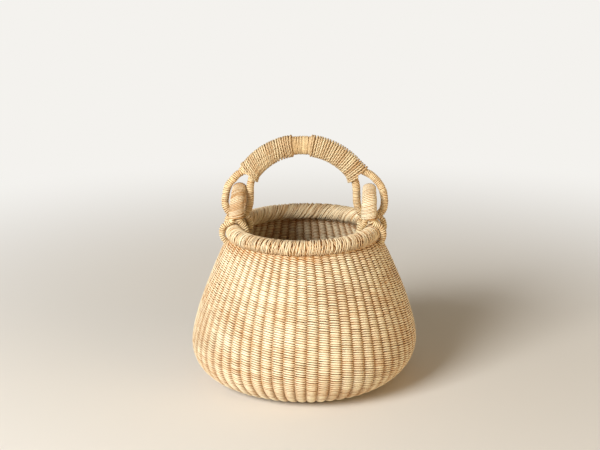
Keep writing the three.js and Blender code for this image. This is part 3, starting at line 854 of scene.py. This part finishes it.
def eye_path(side):
    """From inside the grip round an eye and back into the grip, as it lies on the right."""
    height = FORK_HEIGHT - BAR_HEIGHT
    angles = np.linspace(SPREAD_ANGLE - EYE_OVERLAP, GRIP_ANGLE, 4)
    strands = [HANDLE_STRAND + STRAND_SPREAD * spread_share(a) for a in angles]
    outer = [EYE_SPREAD[side] * spread_share(a) + s for s, a in zip(strands, angles)]
    points = [grip_point(GRIP_RADIUS + s, a) for s, a in zip(outer, angles)]
    outline = EYE_SHOULDERS[side] + EYE_OUTLINE
    points += [(EYE_X + a * EYE_HALF_WIDTH, 0, BAR_HEIGHT + b * height) for a, b in outline]
    points += [grip_point(GRIP_RADIUS - s, a) for s, a in zip(strands[::-1], angles[::-1])]
    return smooth_path(points, EYE_SAMPLES)


for side, sign in EAR_SIDES.items():
    eye = Strands()
    path = eye_path(side) * np.array([sign, sign, 1])
    front = (0, 1.0, 0)
    straw = EYE_STRAW[side]
    core = HANDLE_ROPE_RADIUS - straw
    eye.add(path, front, core, core, CORE_TONE, sides=8)
    section = (HANDLE_ROPE_RADIUS + EYE_PROUD, HANDLE_ROPE_RADIUS + EYE_PROUD, 1)
    wind(
        eye, handle_rng, path, front, section, EYE_PITCH[side], straw, EYE_STEPS,
        EYE_TONES[side], EYE_LEAN,
    )
    add_piece(eye, f"handle_eye_{side}", handle_straw, "handle", "straw_rope", "handle_rope")

grip = Strands()
angles = np.linspace(-GRIP_ANGLE, GRIP_ANGLE, GRIP_SAMPLES)
grip_path = np.array([grip_point(GRIP_RADIUS, a) for a in angles])
grip_out = np.array([(math.sin(a), 0, math.cos(a)) for a in angles])
grip_half_length = GRIP_HALF_LENGTH + WRAP_SPREAD * spread_share(angles)
core = (grip_half_length - GRIP_CORE_DEPTH, GRIP_HALF_WIDTH - GRIP_CORE_DEPTH)
grip.add(grip_path, (0, 1.0, 0), *core, GRIP_CORE_TONE, sides=12)
section = (grip_half_length, GRIP_HALF_WIDTH, GRIP_FULLNESS)
wind(
    grip, handle_rng, grip_path, grip_out, section, GRIP_PITCH, GRIP_STRAW, GRIP_STEPS, GRIP_TONES
)
add_piece(grip, "grip_winding", grip_straw, "handle", "straw_wrap", "grip_wrap")

# Grip lashing
# A cord of two straw plies twisted together, wound hard round each half of the grip from the bare
# middle out to the fork. The turns slant more and more towards the fork, which they close.
LASHING_START = {"right": 8.5 * MM, "left": 10.5 * MM}
LASHING_GAP = {"right": -0.7 * MM, "left": 0.4 * MM}
LASHING_TURNS = 25
LASHING_SLANT = {"right": math.radians(0.6), "left": math.radians(1.9)}
LASHING_BEND = {"right": 0, "left": math.radians(5)}
SLANT_START = 0.5  # the cord's length is 1 here
BEND_START = 0.1
BEND_FULL = 0.35
BEND_FADE = 0.45
LASHING_HALF_LENGTH = 12.1 * MM
LASHING_HALF_WIDTH = 7.6 * MM
PLY_WIDTH = 0.88 * MM
PLY_THICKNESS = 0.82 * MM
PLY_OFFSET = 0.4 * MM
PLY_TWIST = 9 * MM
LASHING_STEPS = 48
LASHING_SLIP = 0.16  # in turns
LASHING_TONE = 0.3
LASHING_TONE_SPREAD = 0.6

cord_straw = straw_finish(
    "cord_straw", shade(240, 222, 182), shade(192, 144, 86), shade(140, 88, 40), 0.5, 0.45
)


def lash(strands, rng, side, facing):
    """Winds both plies of the cord round the half of the grip on one side."""
    count = LASHING_TURNS * LASHING_STEPS + 1
    share = np.linspace(0, 1, count)
    first = LASHING_START[side] / GRIP_RADIUS
    last = GRIP_ANGLE - LASHING_GAP[side] / GRIP_RADIUS
    slip = LASHING_SLIP * drift(rng, count, LASHING_STEPS) / LASHING_TURNS
    angle = first + (last - first) * np.clip(share + slip, 0, 1)
    inset = PLY_THICKNESS + PLY_OFFSET
    half_length = LASHING_HALF_LENGTH - inset + WRAP_SPREAD * spread_share(angle)
    half_width = LASHING_HALF_WIDTH - inset
    point, normal = oval(share * LASHING_TURNS, half_length, half_width, GRIP_FULLNESS)
    inward = (1 - point[:, 0] / half_length) / 2
    slant = LASHING_SLANT[side] * ramp_up(share, SLANT_START, 1)
    bend = LASHING_BEND[side] * ramp_up(share, BEND_START, BEND_FULL)
    bend = bend * ramp_up(1 - share, 0, BEND_FADE)
    angle = angle + slant * (2 * inward - 1) + bend * inward**2
    out = np.stack([np.sin(angle), np.zeros(count), np.cos(angle)], axis=-1)
    middle = GRIP_RADIUS * out + np.array([0, 0, GRIP_CENTRE])
    front = np.array([0, 1.0, 0])
    centres = (middle + out * point[:, :1] + front * point[:, 1:]) * facing
    outward = (out * normal[:, :1] + front * normal[:, 1:]) * facing
    beside = np.cross(unit(np.gradient(centres, axis=0)), outward)
    twist = 2 * math.pi * so_far(centres)[:, None] / PLY_TWIST
    tone = LASHING_TONE + LASHING_TONE_SPREAD * lengths_of_straw(rng, count, 2 * LASHING_STEPS)
    for ply in (0, math.pi):
        away = np.cos(twist + ply) * outward + np.sin(twist + ply) * beside
        strands.add(
            centres + PLY_OFFSET * away, away, PLY_WIDTH, PLY_THICKNESS, tone, sides=5
        )


for side, sign in EAR_SIDES.items():
    lashing = Strands()
    lash(lashing, handle_rng, side, np.array([sign, sign, 1]))
    name = f"lashing_cord_{side}"
    add_piece(lashing, name, cord_straw, "handle", "straw_cord", f"grip_lashing_{side}")

# Studio
# A pale floor that runs on out of view, a soft lamp from the left like a window, a weak warm one from
# the right, and even pale surroundings.
CAMERA_TURN = math.radians(5)
CAMERA_RISE = math.radians(15.8)
CAMERA_ROLL = math.radians(0.8)
CAMERA_DISTANCE = 1.2374
CAMERA_AIM_HEIGHT = 0.1675
CAMERA_AIM_LEFT = 0.0038
CAMERA_LENS = 69
CAMERA_SENSOR = 36
FLOOR_SIZE = 30
FLOOR_FADE_START = 0.2
FLOOR_FADE_END = 1.1
FLOOR_COLOUR = shade(226, 220, 212)
FLOOR_ROUGHNESS = 0.8
BACKDROP_COLOUR = shade(244, 242, 238)
FILL_COLOUR = (1, 0.86, 0.66, 1)
FILL_STRENGTH = 0.2
LAMP_DISTANCE = 2.2
LAMP_AIM = Vector((0, 0, 0.12))
LAMPS = {
    "window_lamp": {"turn": 39, "rise": 29, "size": 1, "energy": 65.5, "colour": (0.98, 1, 1)},
    "front_lamp": {"turn": -60, "rise": 8, "size": 1.4, "energy": 21, "colour": (1, 0.74, 0.38)},
}


def aim(thing, target, roll=0.0):
    """Turns a camera or lamp to face a point."""
    facing = (Vector(target) - thing.location).to_track_quat("-Z", "Y")
    thing.rotation_euler = (facing @ Quaternion((0, 0, 1), roll)).to_euler()


camera = bpy.data.objects.new("camera", bpy.data.cameras.new("camera"))
bpy.context.scene.collection.objects.link(camera)
camera.data.lens = CAMERA_LENS
camera.data.sensor_width = CAMERA_SENSOR
camera_right = Vector((math.cos(CAMERA_TURN), math.sin(CAMERA_TURN), 0))
camera_back = Vector((math.sin(CAMERA_TURN), -math.cos(CAMERA_TURN), 0)) * math.cos(CAMERA_RISE)
camera_back.z = math.sin(CAMERA_RISE)
target = Vector((0, 0, CAMERA_AIM_HEIGHT)) - CAMERA_AIM_LEFT * camera_right
camera.location = target + CAMERA_DISTANCE * camera_back
aim(camera, target, -CAMERA_ROLL)
bpy.context.scene.camera = camera

bpy.ops.mesh.primitive_plane_add(size=FLOOR_SIZE)
floor = bpy.context.object
floor.name = "floor"
floor_paint = bpy.data.materials.new("floor_paint")
floor_paint.use_nodes = True
floor_paint.node_tree.nodes.clear()
wires = Wire(floor_paint.node_tree)
place = wires.node("ShaderNodeTexCoord", {}, {}, "Object")
distance = wires.node("ShaderNodeVectorMath", {"operation": "LENGTH"}, {0: place}, "Value")
far = wires.node(
    "ShaderNodeMapRange",
    {"interpolation_type": "SMOOTHSTEP"},
    {0: distance, 1: FLOOR_FADE_START, 2: FLOOR_FADE_END},
)
near_paint = wires.node(
    "ShaderNodeBsdfPrincipled", {}, {"Base Color": FLOOR_COLOUR, "Roughness": FLOOR_ROUGHNESS}
)
far_paint = wires.node("ShaderNodeEmission", {}, {"Color": BACKDROP_COLOUR})
seen = wires.node("ShaderNodeLightPath", {}, {}, "Is Camera Ray")
seen = wires.sum("MAXIMUM", seen, seen.other("Is Glossy Ray"))
paint = wires.node("ShaderNodeMixShader", {}, {0: far * seen, 1: near_paint, 2: far_paint})
wires.node("ShaderNodeOutputMaterial", {}, {"Surface": paint}, None)
floor.data.materials.append(floor_paint)

for name, made in LAMPS.items():
    lamp = bpy.data.objects.new(name, bpy.data.lights.new(name, "AREA"))
    bpy.context.scene.collection.objects.link(lamp)
    lamp.data.size = made["size"]
    lamp.data.energy = made["energy"]
    lamp.data.color = made["colour"]
    turn, rise = math.radians(made["turn"]), math.radians(made["rise"])
    lamp_back = Vector((-math.sin(turn), -math.cos(turn), 0)) * math.cos(rise)
    lamp_back.z = math.sin(rise)
    lamp.location = LAMP_AIM + LAMP_DISTANCE * lamp_back
    aim(lamp, LAMP_AIM)

world = bpy.data.worlds.new("surroundings")
bpy.context.scene.world = world
world.use_nodes = True
world.node_tree.nodes.clear()
wires = Wire(world.node_tree)
seen = wires.node("ShaderNodeLightPath", {}, {}, "Is Camera Ray")
mirrored = wires.sum("MAXIMUM", seen.other("Is Glossy Ray"), seen.other("Is Transmission Ray"))
seen = wires.sum("MAXIMUM", seen, mirrored)
fill = wires.node("ShaderNodeBackground", {}, {"Color": FILL_COLOUR, "Strength": FILL_STRENGTH})
backdrop = wires.node("ShaderNodeBackground", {}, {"Color": BACKDROP_COLOUR, "Strength": 1})
light = wires.node("ShaderNodeMixShader", {}, {0: seen, 1: fill, 2: backdrop})
wires.node("ShaderNodeOutputWorld", {}, {"Surface": light}, None)
bpy.context.scene.view_settings.view_transform = "Standard"
